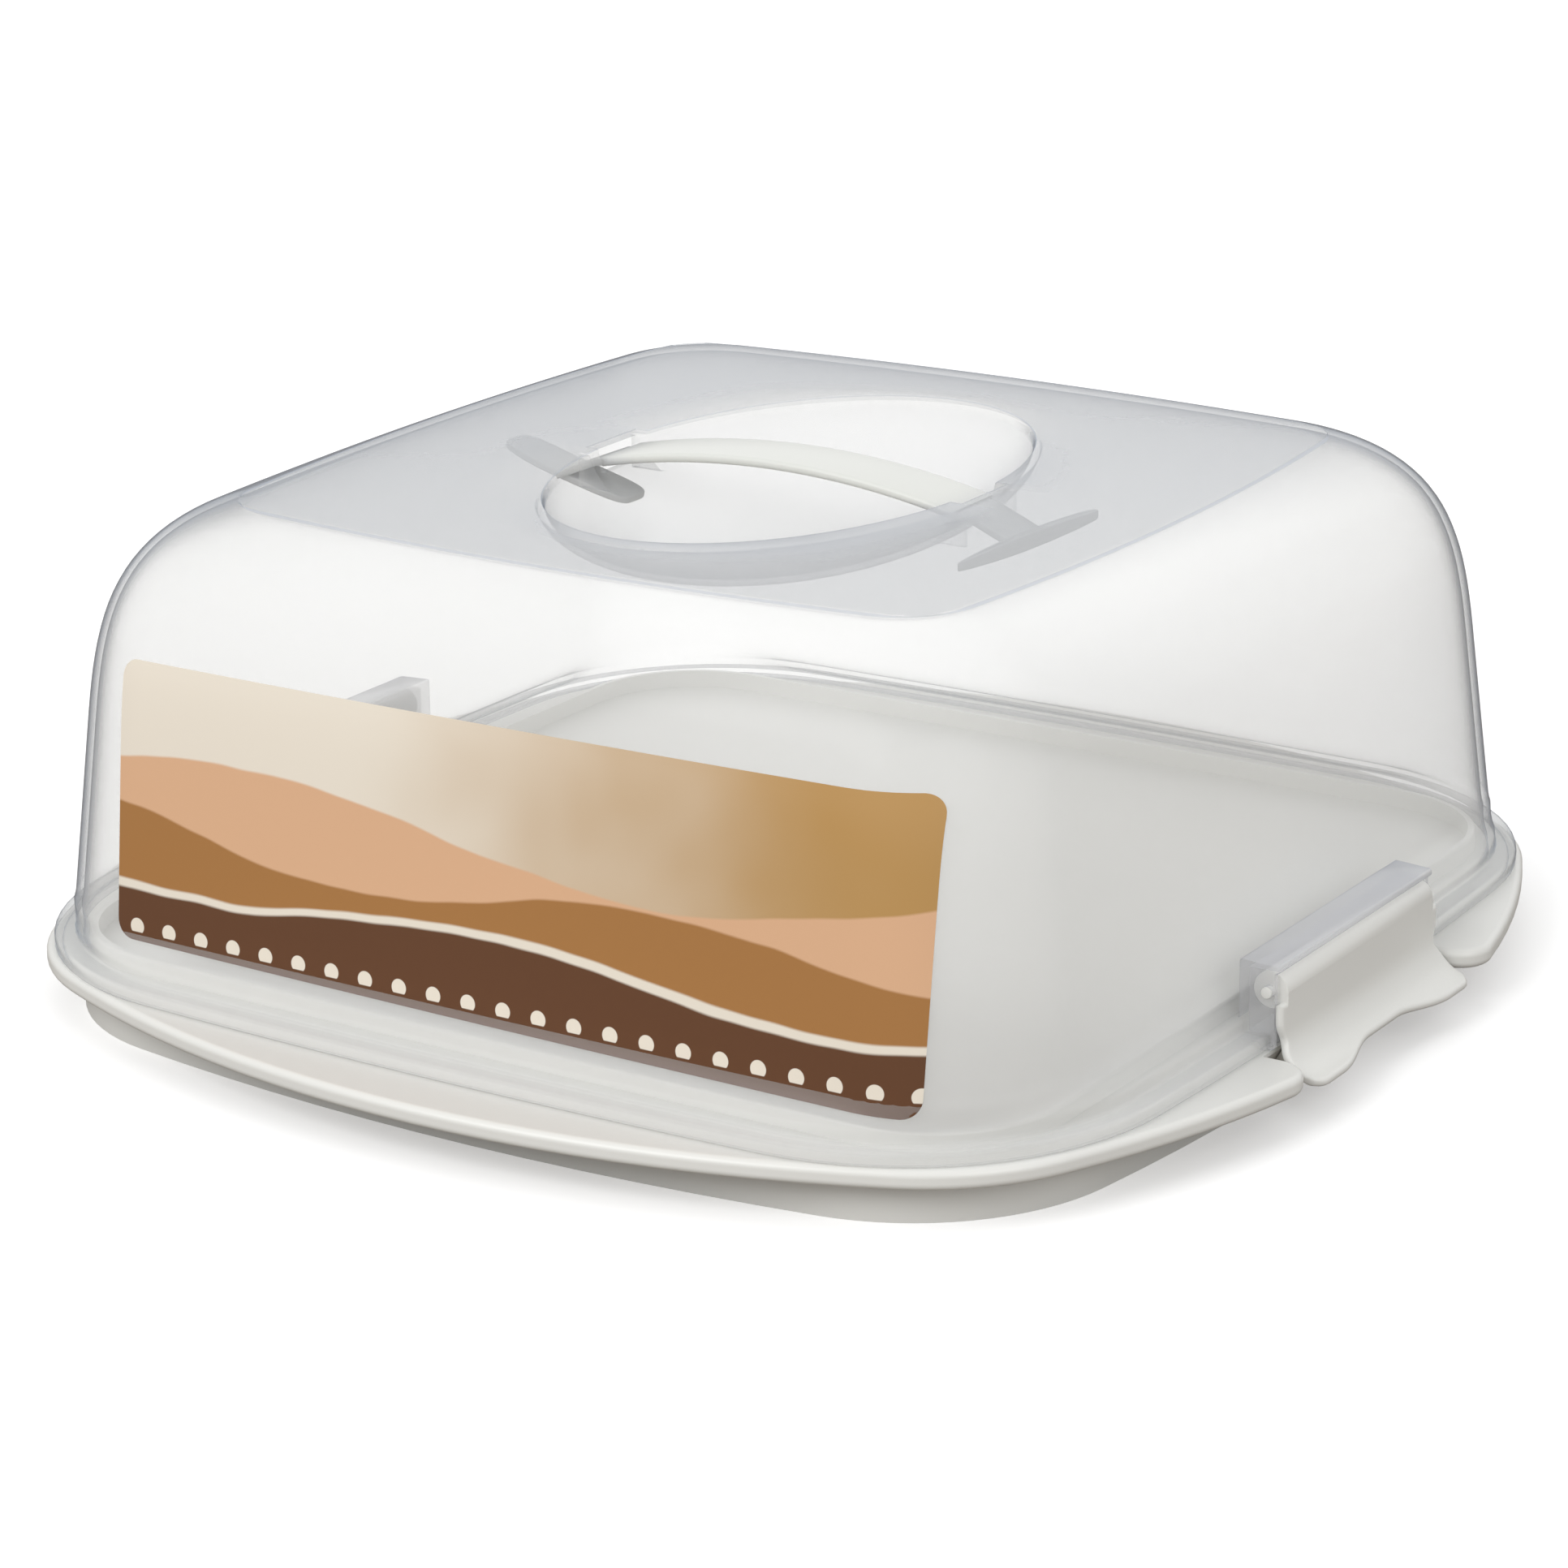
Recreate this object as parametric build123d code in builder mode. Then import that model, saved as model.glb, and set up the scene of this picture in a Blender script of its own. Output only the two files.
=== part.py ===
from build123d import *
import os
from math import cos, radians, sin, tan

# Cake carrier, millimetres. z = 0 is the underside of the tray, -Y is the label side, and the
# two clips stand on the +X and -X sides.

# Tray: rim that the cover stands on, floor, locating ridge and skirt that rests on the table
rim_half = 179.7
rim_bulge = 35.7
rim_side_bulge = 39.1
rim_corner = 60.0
rim_top = 16.6
rim_depth = 5.2
rim_rounding = 1.9
sheet = 2.4
ridge_play = 1.7
ridge_width = 2.2
ridge_height = 5.0
ridge_rounding = 1.0
skirt_setback = 19.9
skirt_bulge = 15.8
skirt_corner = 58.4
cup_columns = 3
cup_rows = 4
cup_diameter = 62.0
cup_column_pitch = 88.0
cup_row_pitch = 70.0
cup_rib_width = 1.8
cup_rib_height = 3.2

# Cover: flat top panel, curved shoulder, drafted wall and a stepped foot inside the rim
wall = 1.9
seat_gap = 0.2
panel_top = 133.5
panel_bulge = 7.3
panel_corner = 13.0
crease_angle = 13.2
shoulder_spread = 36.4
shoulder_drop = 57.3
crease_fullness = 0.84
wall_fullness = 0.48
shoulder_shares = (0, 0.1, 0.25, 0.45, 0.7, 1)
wall_shares = (0.5, 1)
wall_draft = 4.4
foot_bulge = 1.5
foot_rise = 2.4
corner_gain = 26.0
corner_growth = 0.35
ledge_width = 8.4
ledge_bulge = 4.0
ledge_corner_gain = 27.0
ledge_rise = 3.2
lip_setback = 15.9
lip_width = 6.8
lip_bulge = 7.0
lip_corner_gain = 6.0
lip_rise = 3.6

# Dish in the top panel, under the handle
dish_reach = 54.7
dish_span = 82.5
dish_depth = 22.5

# Handle: strap along X whose ends pass slots at the rim of the dish
handle_play = 2.0
strap_crown = 3.2
strap_sink = 3.0
strap_width = 20.0
strap_thickness = 2.6
stem_width = 16.0
stem_thickness = 2.0
stem_inset = 0.2
stem_run = 16.3
stem_drop = 10.5
crossbar_length = 63.0
crossbar_width = 2.8
crossbar_height = 4.4
toggle_length = 43.0
toggle_width = 13.5
toggle_rounding = 4.5
toggle_tilt = 14.0
slot_clearance = 1.5
slot_reach = 3.4
slot_cheek = 1.6
slot_depth = 11.0
panel_clearance = 0.3

# Clips: hinged in housings on the cover's two X sides
clip_half_width = 43.0
clip_sheet = 2.3
clip_running_gap = 0.4
pivot_setback = 0.9
pivot_rise = 11.4
barrel_radius = 4.8
pin_radius = 1.5
pin_clearance = 0.05
housing_cheek = 2.0
housing_roof = 1.8
housing_slope = 0.6
housing_overhang = 1.0
flare_start = 9.2
flare_out = 10.8
flare_drop = 11.0
lobe_shoulder = 30.0
arch_half_width = 13.0
arch_out = 6.9
arch_slant = 0.4
lobe_rounding = 5.0
catch_overlap = 2.4
catch_angle = 60.0
catch_gap = 0.35
hook_half_width = 36.0
hook_depth = 1.4
hook_root = 1.0
hook_belly = 1.5
hook_heel = 2.5
notch_clearance = 1.5
notch_gap = 1.4
ear_rounding = 9.0

# Label on the front wall, a little taller at its right end
label_left_margin = 36.9
label_right_margin = 22.0
label_rise = 38.2
label_left_height = 72.2
label_right_height = 76.0
label_rounding = 5.0
label_glue = 0.05
label_thickness = 0.25

rim_bottom = rim_top - rim_depth
rim_underside = rim_top - sheet
skirt_half = rim_half - skirt_setback
cover_bottom = rim_top + seat_gap
lip_half = rim_half - lip_setback
lip_level = cover_bottom + lip_rise
ledge_half = lip_half - lip_width
ledge_level = lip_level + ledge_rise
foot_half = ledge_half - ledge_width
foot_level = ledge_level + foot_rise
foot_corner = panel_corner + corner_gain
ledge_corner = foot_corner + ledge_corner_gain
lip_corner = ledge_corner + lip_corner_gain
ridge_half = foot_half - wall - ridge_play
ridge_corner = foot_corner - wall - ridge_play
panel_half = foot_half - shoulder_spread
panel_underside = panel_top - wall
pivot_out = lip_half - pivot_setback
pivot_level = lip_level + pivot_rise
clip_face = pivot_out + barrel_radius
clip_back = clip_face - clip_sheet
clip_bend = pivot_level - flare_start
cheek_face = clip_back - clip_running_gap
housing_half = clip_half_width - clip_running_gap
barrel_half = housing_half - housing_cheek - clip_running_gap
roof_level = pivot_level + barrel_radius + clip_running_gap
notch_reach = clip_back - notch_gap
notch_half = clip_half_width + notch_clearance
slot_half = strap_width / 2 + slot_clearance
slot_outside = dish_reach + slot_reach
stem_start = dish_reach - stem_thickness
stem_end = dish_reach + stem_run
stem_top = panel_underside - panel_clearance - handle_play
crossbar_level = panel_top - stem_drop
label_left = label_left_margin - foot_half
label_right = foot_half - label_right_margin
label_middle = foot_level + label_rise

os.makedirs("parts", exist_ok=True)


def bulged_square(half, bulge, corner, side_bulge=None):
    """Square with bulged sides and rounded corners; half is measured to the middle of a Y side."""
    reach = half - bulge
    points = [(reach, -reach), (reach, reach), (-reach, reach), (-reach, -reach)]
    bulges = [side_bulge or bulge, bulge] * 2
    with BuildSketch(mode=Mode.PRIVATE) as outline:
        with BuildLine():
            for start, end, rise in zip(points, points[1:] + points[:1], bulges):
                SagittaArc(start, end, -rise)
        make_face()
        fillet(outline.vertices(), corner)
    return outline.sketch


def slab(half, bulge, corner, bottom, top):
    """Upright block over a bulged square, from one level to another."""
    with BuildPart(mode=Mode.PRIVATE) as block:
        with BuildSketch(Plane.XY.offset(bottom)):
            add(bulged_square(half, bulge, corner))
        extrude(amount=top - bottom)
    return block.part


def shoulder_point(share, inset):
    """Half width and level of the cover's side at a share of its shoulder, inset by a wall."""
    start = Vector(panel_half, panel_top)
    end = Vector(foot_half - wall_draft, panel_top - shoulder_drop)
    reach = (end.X - start.X) * crease_fullness
    draft = (Vector(foot_half, foot_level) - end).normalized()
    controls = [
        start,
        start + Vector(reach, -reach * tan(radians(crease_angle))),
        end - draft * shoulder_drop * wall_fullness,
        end,
    ]
    rest = 1 - share
    weights = [rest**3, 3 * rest**2 * share, 3 * rest * share**2, share**3]
    slopes = [-(rest**2), rest**2 - 2 * rest * share, 2 * rest * share - share**2, share**2]
    point = sum((c * w for c, w in zip(controls, weights)), Vector())
    slope = sum((c * s for c, s in zip(controls, slopes)), Vector()).normalized()
    return point + Vector(slope.Y, -slope.X) * inset


def cover_form(inset):
    """Solid form of the cover down to its foot, shrunk by a wall or grown by a sheet."""
    sections = [shoulder_point(share, inset) for share in shoulder_shares]
    foot = Vector(foot_half - inset, foot_level)
    sections += [sections[-1] + (foot - sections[-1]) * share for share in wall_shares]
    with BuildPart(mode=Mode.PRIVATE) as form:
        for section in sections:
            share = max(0, (section.X + inset - panel_half) / shoulder_spread)
            bulge = panel_bulge + (foot_bulge - panel_bulge) * share
            corner = panel_corner + (foot_corner - panel_corner) * share**corner_growth - inset
            with BuildSketch(Plane.XY.offset(section.Y)):
                add(bulged_square(section.X, bulge, corner))
        loft()
    return form.part


def bowl_form(inset):
    """Lower half of an ellipsoid hung from the top panel, grown outwards by a wall."""
    with BuildPart(mode=Mode.PRIVATE) as bowl:
        Sphere(1, arc_size1=-90, arc_size2=0, align=(Align.CENTER, Align.CENTER, Align.MAX))
        scale(by=(dish_reach + inset, dish_span + inset, dish_depth + inset))
    return bowl.part.moved(Location((0, 0, panel_top)))


outer_form = cover_form(0)

# Tray: one moulded sheet with a rim, a raised floor, a skirt and rings for small cakes below
with BuildPart() as base_tray:
    with BuildSketch(Plane.XY.offset(rim_bottom)) as rim:
        add(bulged_square(rim_half, rim_bulge, rim_corner, rim_side_bulge))
        with Locations((notch_reach + rim_half / 2, 0), (-notch_reach - rim_half / 2, 0)):
            Rectangle(rim_half, 2 * notch_half, mode=Mode.SUBTRACT)
        ears = rim.vertices().filter_by(lambda v: notch_reach + sheet < abs(v.X))
        fillet(ears.filter_by(lambda v: abs(v.Y) < notch_half + sheet), ear_rounding)
    extrude(amount=rim_depth)
    catches = edges().filter_by(GeomType.LINE).filter_by(Axis.Y)
    fillet(edges().filter_by(Plane.XY) - catches, rim_rounding)
    with BuildSketch(Plane.XZ):
        for side in (1, -1):
            with BuildLine():
                Polyline(
                    (side * (notch_reach - catch_overlap), rim_bottom),
                    (side * notch_reach, rim_bottom + catch_overlap * tan(radians(catch_angle))),
                    (side * notch_reach, rim_bottom),
                    close=True,
                )
            make_face()
    extrude(amount=notch_half, both=True, mode=Mode.SUBTRACT)
    with BuildSketch(Plane.XY.offset(rim_bottom)) as hollow:
        add(bulged_square(rim_half - sheet, rim_bulge, rim_corner - sheet, rim_side_bulge))
        add(bulged_square(skirt_half, skirt_bulge, skirt_corner), mode=Mode.SUBTRACT)
        Rectangle(2 * (rim_half + rim_bulge), 2 * (notch_half + sheet), mode=Mode.SUBTRACT)
        corners = hollow.vertices().filter_by(lambda v: notch_reach + sheet < abs(v.X))
        fillet(corners.filter_by(lambda v: abs(v.Y) < notch_half + 2 * sheet), ear_rounding - sheet)
    extrude(amount=rim_depth - sheet, mode=Mode.SUBTRACT)
    add(slab(ridge_half, foot_bulge, ridge_corner, rim_underside, rim_top + ridge_height))
    fillet(edges().filter_by(Plane.XY).group_by(Axis.Z)[-1], ridge_rounding)
    inner_ridge = ridge_half - ridge_width, foot_bulge, ridge_corner - ridge_width
    add(slab(*inner_ridge, rim_top, rim_top + ridge_height), mode=Mode.SUBTRACT)
    add(slab(skirt_half, skirt_bulge, skirt_corner, 0, rim_underside))
    inner_skirt = skirt_half - sheet, skirt_bulge, skirt_corner - sheet
    add(slab(*inner_skirt, 0, rim_underside), mode=Mode.SUBTRACT)
    with BuildSketch(Plane.XY.offset(rim_underside)):
        with GridLocations(cup_column_pitch, cup_row_pitch, cup_columns, cup_rows):
            Circle(cup_diameter / 2)
            Circle(cup_diameter / 2 - cup_rib_width, mode=Mode.SUBTRACT)
    extrude(amount=-cup_rib_height)
base_tray.part.label = "base_tray"
export_step(base_tray.part, "parts/base_tray.step")

# Housing for one clip: back wall on the cover's ledge, two cheeks with pin holes and a roof
pivot = Location((pivot_out, 0, pivot_level), (90, 0, 0))
with BuildPart() as housing:
    back = ledge_half - wall
    with BuildSketch(Plane.XZ):
        with BuildLine():
            Polyline(
                (back, cover_bottom),
                (cheek_face, cover_bottom),
                (cheek_face, roof_level),
                (cheek_face + housing_overhang, roof_level),
                (cheek_face + housing_overhang, roof_level + housing_roof),
                (back, roof_level + housing_roof + housing_slope),
                close=True,
            )
        make_face()
    extrude(amount=housing_half, both=True)
    with BuildSketch():
        with Locations((ledge_half + clip_face / 2, 0)):
            Rectangle(clip_face, 2 * (housing_half - housing_cheek))
    extrude(amount=roof_level, mode=Mode.SUBTRACT)
    with Locations(pivot):
        Cylinder(pin_radius + pin_clearance, 2 * housing_half, mode=Mode.SUBTRACT)

# Cover: one thin shell with the dish, the two slots for the handle and both clip housings
with BuildPart() as cover:
    add(outer_form)
    with BuildSketch(Plane.XY.offset(foot_level)):
        add(bulged_square(foot_half, foot_bulge, foot_corner))
    with BuildSketch(Plane.XY.offset(ledge_level)):
        add(bulged_square(ledge_half, ledge_bulge, ledge_corner))
    loft()
    add(slab(ledge_half, ledge_bulge, ledge_corner, lip_level, ledge_level))
    add(slab(lip_half, lip_bulge, lip_corner, cover_bottom, lip_level))
    add(housing.part)
    add(mirror(housing.part, about=Plane.YZ, mode=Mode.PRIVATE))
    add(cover_form(wall), mode=Mode.SUBTRACT)
    inside = slab(foot_half - wall, foot_bulge, foot_corner - wall, cover_bottom, foot_level)
    add(inside, mode=Mode.SUBTRACT)
    under_ledge = ledge_level - wall
    inside = slab(ledge_half - wall, ledge_bulge, ledge_corner - wall, cover_bottom, under_ledge)
    add(inside, mode=Mode.SUBTRACT)
    under_lip = lip_level - wall
    inside = slab(lip_half - wall, lip_bulge, lip_corner - wall, cover_bottom, under_lip)
    add(inside, mode=Mode.SUBTRACT)
    add(bowl_form(wall))
    with BuildSketch(Plane.XY.offset(panel_underside)):
        with Locations((dish_reach, 0), (-dish_reach, 0)):
            for side in (1, -1):
                with Locations((0, side * (slot_half + slot_cheek / 2))):
                    Rectangle(2 * (slot_reach + slot_cheek), slot_cheek)
    extrude(amount=-slot_depth)
    add(bowl_form(0), mode=Mode.SUBTRACT)
    with BuildSketch(Plane.XY.offset(panel_top)):
        with Locations((dish_reach, 0), (-dish_reach, 0)):
            Rectangle(2 * slot_reach, 2 * slot_half)
    extrude(amount=stem_top - stem_thickness - panel_clearance - panel_top, mode=Mode.SUBTRACT)
cover.part.label = "cover"
export_step(cover.part, "parts/cover.step")

# Handle: arched strap with a stem at each end, one to a crossbar and one to a tilted toggle
with BuildPart() as carry_handle:
    strap_ends = panel_top - strap_sink
    with BuildSketch(Plane.XZ):
        with BuildLine():
            top = ThreePointArc(
                (-dish_reach, strap_ends), (0, panel_top + strap_crown), (dish_reach, strap_ends)
            )
            Line(top @ 1, (dish_reach, strap_ends - strap_thickness))
            ThreePointArc(
                (dish_reach, strap_ends - strap_thickness),
                (0, panel_top + strap_crown - strap_thickness),
                (-dish_reach, strap_ends - strap_thickness),
            )
            Line((-dish_reach, strap_ends - strap_thickness), top @ 0)
        make_face()
    extrude(amount=strap_width / 2, both=True)
    with BuildSketch(Plane.XZ):
        for side in (1, -1):
            with BuildLine():
                Polyline(
                    (side * stem_start, strap_ends - stem_inset),
                    (side * slot_outside, stem_top),
                    (side * stem_end, crossbar_level + stem_thickness / 2),
                    (side * stem_end, crossbar_level - stem_thickness / 2),
                    (side * slot_outside, stem_top - stem_thickness),
                    (side * stem_start, strap_ends - strap_thickness + stem_inset),
                    close=True,
                )
            make_face()
    extrude(amount=stem_width / 2, both=True)
    with BuildSketch(Plane.XY.offset(crossbar_level - crossbar_height / 2)):
        with Locations((stem_end, 0)):
            SlotOverall(crossbar_length, crossbar_width, rotation=90)
    extrude(amount=crossbar_height)
    tilt = radians(toggle_tilt)
    toggle = Plane((-stem_end, 0, crossbar_level), (cos(tilt), 0, -sin(tilt)), (sin(tilt), 0, cos(tilt)))
    with BuildSketch(toggle):
        RectangleRounded(toggle_length, toggle_width, toggle_rounding)
    extrude(amount=stem_thickness / 2, both=True)
carry_handle.part.label = "carry_handle"
export_step(carry_handle.part, "parts/carry_handle.step")

# Clip: barrel with two pins, panel, flared finger lobes and the hook that grips the tray's catch
with BuildPart() as right_clip:
    with BuildSketch(Plane.XZ):
        with BuildLine():
            panel = Line((clip_face, pivot_level), (clip_face, clip_bend))
            flare_tip = (clip_face + flare_out, clip_bend - flare_drop)
            TangentArc(panel @ 1, flare_tip, tangent=panel % 1)
            offset(amount=clip_sheet, side=Side.RIGHT)
        make_face()
    extrude(amount=clip_half_width, both=True)
    face_rise = tan(radians(catch_angle))
    gap_out = catch_gap * sin(radians(catch_angle))
    gap_down = catch_gap * cos(radians(catch_angle))
    hook_tip = notch_reach - catch_overlap + gap_out
    hook_level = rim_bottom - gap_down
    with BuildSketch(Plane.XZ):
        with BuildLine():
            Polyline(
                (hook_tip, hook_level),
                (clip_back, hook_level + (clip_back - hook_tip) * face_rise),
                (clip_face - clip_sheet / 2, clip_bend - hook_root),
                (clip_face + hook_belly, hook_level),
                (clip_face + hook_heel, hook_level - hook_depth),
                (hook_tip, hook_level - hook_depth),
                close=True,
            )
        make_face()
    extrude(amount=hook_half_width, both=True)
    with BuildSketch():
        RectangleRounded(2 * (clip_face + flare_out), 2 * clip_half_width, lobe_rounding)
        with BuildLine():
            arch = clip_face + arch_out
            beyond = clip_face + flare_out + clip_sheet
            near, far = (-1, arch_slant), (1, arch_slant)
            Spline((beyond, -lobe_shoulder), (arch, -arch_half_width), tangents=[near, (0, 1)])
            Line((arch, -arch_half_width), (arch, arch_half_width))
            Spline((arch, arch_half_width), (beyond, lobe_shoulder), tangents=[(0, 1), far])
            Line((beyond, lobe_shoulder), (beyond, -lobe_shoulder))
        make_face(mode=Mode.SUBTRACT)
    extrude(amount=roof_level, mode=Mode.INTERSECT)
    with BuildSketch(Plane.XY.offset(pivot_level - cheek_face + pivot_out - clip_running_gap)):
        with Locations((clip_face, clip_half_width), (clip_face, -clip_half_width)):
            Rectangle(2 * barrel_radius, 2 * (clip_half_width - barrel_half))
    extrude(amount=roof_level, mode=Mode.SUBTRACT)
    with Locations(pivot):
        Cylinder(barrel_radius, 2 * barrel_half)
        Cylinder(pin_radius, 2 * clip_half_width)
right_clip.part.label = "right_clip"
export_step(right_clip.part, "parts/right_clip.step")

with BuildPart() as left_clip:
    add(mirror(right_clip.part, about=Plane.YZ, mode=Mode.PRIVATE))
left_clip.part.label = "left_clip"
export_step(left_clip.part, "parts/left_clip.step")

# Label: thin printed sheet glued to the front wall
with BuildPart() as label:
    add(cover_form(-label_glue - label_thickness))
    add(cover_form(-label_glue), mode=Mode.SUBTRACT)
    with BuildSketch(Plane.XZ) as outline:
        with BuildLine():
            Polyline(
                (label_left, label_middle - label_left_height / 2),
                (label_right, label_middle - label_right_height / 2),
                (label_right, label_middle + label_right_height / 2),
                (label_left, label_middle + label_left_height / 2),
                close=True,
            )
        make_face()
        fillet(outline.vertices(), label_rounding)
    extrude(amount=foot_half + wall, mode=Mode.INTERSECT)
label.part.label = "label"
export_step(label.part, "parts/label.step")
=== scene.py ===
import math

import bmesh
import bpy
from mathutils import Matrix, Vector


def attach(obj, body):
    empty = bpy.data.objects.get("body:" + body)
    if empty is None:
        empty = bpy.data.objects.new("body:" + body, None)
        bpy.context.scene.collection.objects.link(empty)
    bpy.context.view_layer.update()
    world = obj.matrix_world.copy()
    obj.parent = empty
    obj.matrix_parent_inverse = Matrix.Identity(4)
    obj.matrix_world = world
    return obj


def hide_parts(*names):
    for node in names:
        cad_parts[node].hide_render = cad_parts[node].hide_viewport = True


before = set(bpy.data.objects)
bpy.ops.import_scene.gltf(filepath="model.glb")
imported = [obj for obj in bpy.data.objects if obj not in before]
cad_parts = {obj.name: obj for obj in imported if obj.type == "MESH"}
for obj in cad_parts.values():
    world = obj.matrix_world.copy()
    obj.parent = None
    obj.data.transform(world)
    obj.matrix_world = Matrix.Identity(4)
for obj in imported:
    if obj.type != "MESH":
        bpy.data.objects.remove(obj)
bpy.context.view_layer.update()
scene = bpy.context.scene
scene.view_settings.view_transform = "Standard"
mm = 0.001  # lengths below are written in millimetres


# shader maths: a value wraps a socket, and an expression on values adds its nodes

class Value:
    def __init__(self, tree, socket):
        self.tree = tree
        self.socket = socket

    def math(self, operation, *parts):
        node = self.tree.nodes.new("ShaderNodeMath")
        node.operation = operation
        for slot, part in zip(node.inputs, parts):
            if isinstance(part, Value):
                self.tree.links.new(part.socket, slot)
            else:
                slot.default_value = part
        return Value(self.tree, node.outputs[0])

    def __add__(self, other):
        return self.math("ADD", self, other)

    def __radd__(self, other):
        return self.math("ADD", other, self)

    def __sub__(self, other):
        return self.math("SUBTRACT", self, other)

    def __rsub__(self, other):
        return self.math("SUBTRACT", other, self)

    def __mul__(self, other):
        return self.math("MULTIPLY", self, other)

    def __rmul__(self, other):
        return self.math("MULTIPLY", other, self)

    def __truediv__(self, other):
        return self.math("DIVIDE", self, other)

    def __rtruediv__(self, other):
        return self.math("DIVIDE", other, self)

    def __pow__(self, other):
        return self.math("POWER", self, other)

    def sine(self):
        return self.math("SINE", self)

    def exponent(self):
        return self.math("EXPONENT", self)

    def size(self):
        return self.math("ABSOLUTE", self)

    def clamp(self):
        return self.math("MAXIMUM", self.math("MINIMUM", self, 1), 0)

    def step(self, low, high):  # rises smoothly from 0 at low to 1 at high
        share = ((self - low) / (high - low)).clamp()
        return share * share * (3 - 2 * share)


class Finish:
    def __init__(self, owner, output="ShaderNodeOutputMaterial"):
        self.owner = owner
        owner.use_nodes = True
        self.tree = owner.node_tree
        self.tree.nodes.clear()
        self.output = self.tree.nodes.new(output)

    def node(self, kind, settings=None, out=0, **sockets):  # any node but a Math node
        node = self.tree.nodes.new(kind)
        for key, value in (settings or {}).items():
            if key == "stops":
                elements = node.color_ramp.elements
                while len(elements) < len(value):
                    elements.new(0.5)
                for element, (place, colour) in zip(elements, value):
                    element.position = place
                    element.color = (*colour, 1)
            else:
                setattr(node, key, value)
        for key, value in sockets.items():
            slot = node.inputs[int(key[1:]) if key[1:].isdigit() else key.replace("_", " ")]
            if isinstance(value, Value):
                self.tree.links.new(value.socket, slot)
            else:
                slot.default_value = value
        return Value(self.tree, node.outputs[out])

    def colours(self, share, first, second):  # a Mix node between two colours
        return self.node(
            "ShaderNodeMix", {"data_type": "RGBA"}, 2, i0=share,
            i6=first if isinstance(first, Value) else (*first, 1),
            i7=second if isinstance(second, Value) else (*second, 1),
        )

    def place(self):
        return self.node("ShaderNodeTexCoord", out=3)

    def axes(self):
        place = self.place()
        return [self.node("ShaderNodeSeparateXYZ", out=k, Vector=place) for k in range(3)]

    def noise(self, scale, detail=2.0, place=None):
        return self.node("ShaderNodeTexNoise", Vector=place or self.place(), Scale=scale, Detail=detail)

    def bump(self, height, strength, distance):
        return self.node("ShaderNodeBump", Height=height, Strength=strength, Distance=distance)

    def surface(self, shader):
        self.tree.links.new(shader.socket, self.output.inputs["Surface"])
        return self.owner


def newObject(name, bm, material, sharpAngle=32):
    bmesh.ops.recalc_face_normals(bm, faces=bm.faces)
    mesh = bpy.data.meshes.new(name)
    bm.to_mesh(mesh)
    bm.free()
    mesh.materials.append(material)
    mesh.shade_smooth()
    mesh.set_sharp_from_angle(angle=math.radians(sharpAngle))
    piece = bpy.data.objects.new(name, mesh)
    scene.collection.objects.link(piece)
    return piece


def applied(piece, sharpAngle=32):  # turns a piece's modifiers into its mesh
    bpy.context.view_layer.update()
    mesh = bpy.data.meshes.new_from_object(piece.evaluated_get(bpy.context.evaluated_depsgraph_get()))
    piece.modifiers.clear()
    piece.data = mesh
    mesh.set_sharp_from_angle(angle=math.radians(sharpAngle))
    return piece


def combined(piece, cutter, operation):
    modifier = piece.modifiers.new(operation.lower(), "BOOLEAN")
    modifier.operation = operation
    modifier.object = cutter
    modifier.solver = "EXACT"
    applied(piece)
    bpy.data.objects.remove(cutter)
    return piece


def extrudedRing(bm, edges, points):  # extrudes a loop of edges and puts it on the next points
    rise = bmesh.ops.extrude_edge_only(bm, edges=edges)["geom"]
    verts = [v for v in rise if isinstance(v, bmesh.types.BMVert)]
    for vert, point in zip(verts, points):
        vert.co = point
    return [e for e in rise if isinstance(e, bmesh.types.BMEdge)]


def prism(bm, outline, low, high):  # outline of (x, z) points, extruded along Y
    verts = [bm.verts.new((x * mm, low * mm, z * mm)) for x, z in outline]
    face = bm.faces.new(verts)
    rise = bmesh.ops.extrude_face_region(bm, geom=[face])["geom"]
    moved = [v for v in rise if isinstance(v, bmesh.types.BMVert)]
    bmesh.ops.translate(bm, verts=moved, vec=(0, (high - low) * mm, 0))
    return verts + moved


def bend(before, corner, after, length, steps=5):  # a rounded corner between two runs of the profile
    start = corner + (before - corner).normalized() * length
    end = corner + (after - corner).normalized() * length
    shares = [k / steps for k in range(steps + 1)]
    return [start * (1 - t) ** 2 + corner * 2 * t * (1 - t) + end * t ** 2 for t in shares]


def softened(outline, width, steps=4):  # an outline with its corners rounded
    points = [Vector(p) for p in outline]
    soft = []
    for k, corner in enumerate(points):
        before, after = points[k - 1], points[(k + 1) % len(points)]
        length = min(width, (before - corner).length * 0.45, (after - corner).length * 0.45)
        soft += bend(before, corner, after, length, steps)
    return [tuple(p) for p in soft]


def bevelled(bm, edges, width, segments=2):
    bmesh.ops.bevel(
        bm, geom=edges, offset=width * mm, affect="EDGES", segments=segments, profile=0.5, material=-1,
    )


def squareTo(bm, axis):  # edges that lie square to an axis, as the rims of a prism's ends do
    return [e for e in bm.edges if abs(e.verts[0].co[axis] - e.verts[1].co[axis]) < 1e-6]


def rod(name, place, radius, half, material, rounding=0):  # round bar along Y
    middle = Matrix.Translation(Vector((place[0], 0, place[1])) * mm)
    turn = middle @ Matrix.Rotation(math.pi / 2, 4, "X")
    bm = bmesh.new()
    bmesh.ops.create_cone(
        bm, cap_ends=True, segments=48, radius1=radius * mm, radius2=radius * mm, depth=2 * half * mm,
        matrix=turn,
    )
    if rounding:
        bevelled(bm, squareTo(bm, 1), rounding, 2)
    return newObject(name, bm, material)


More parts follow.
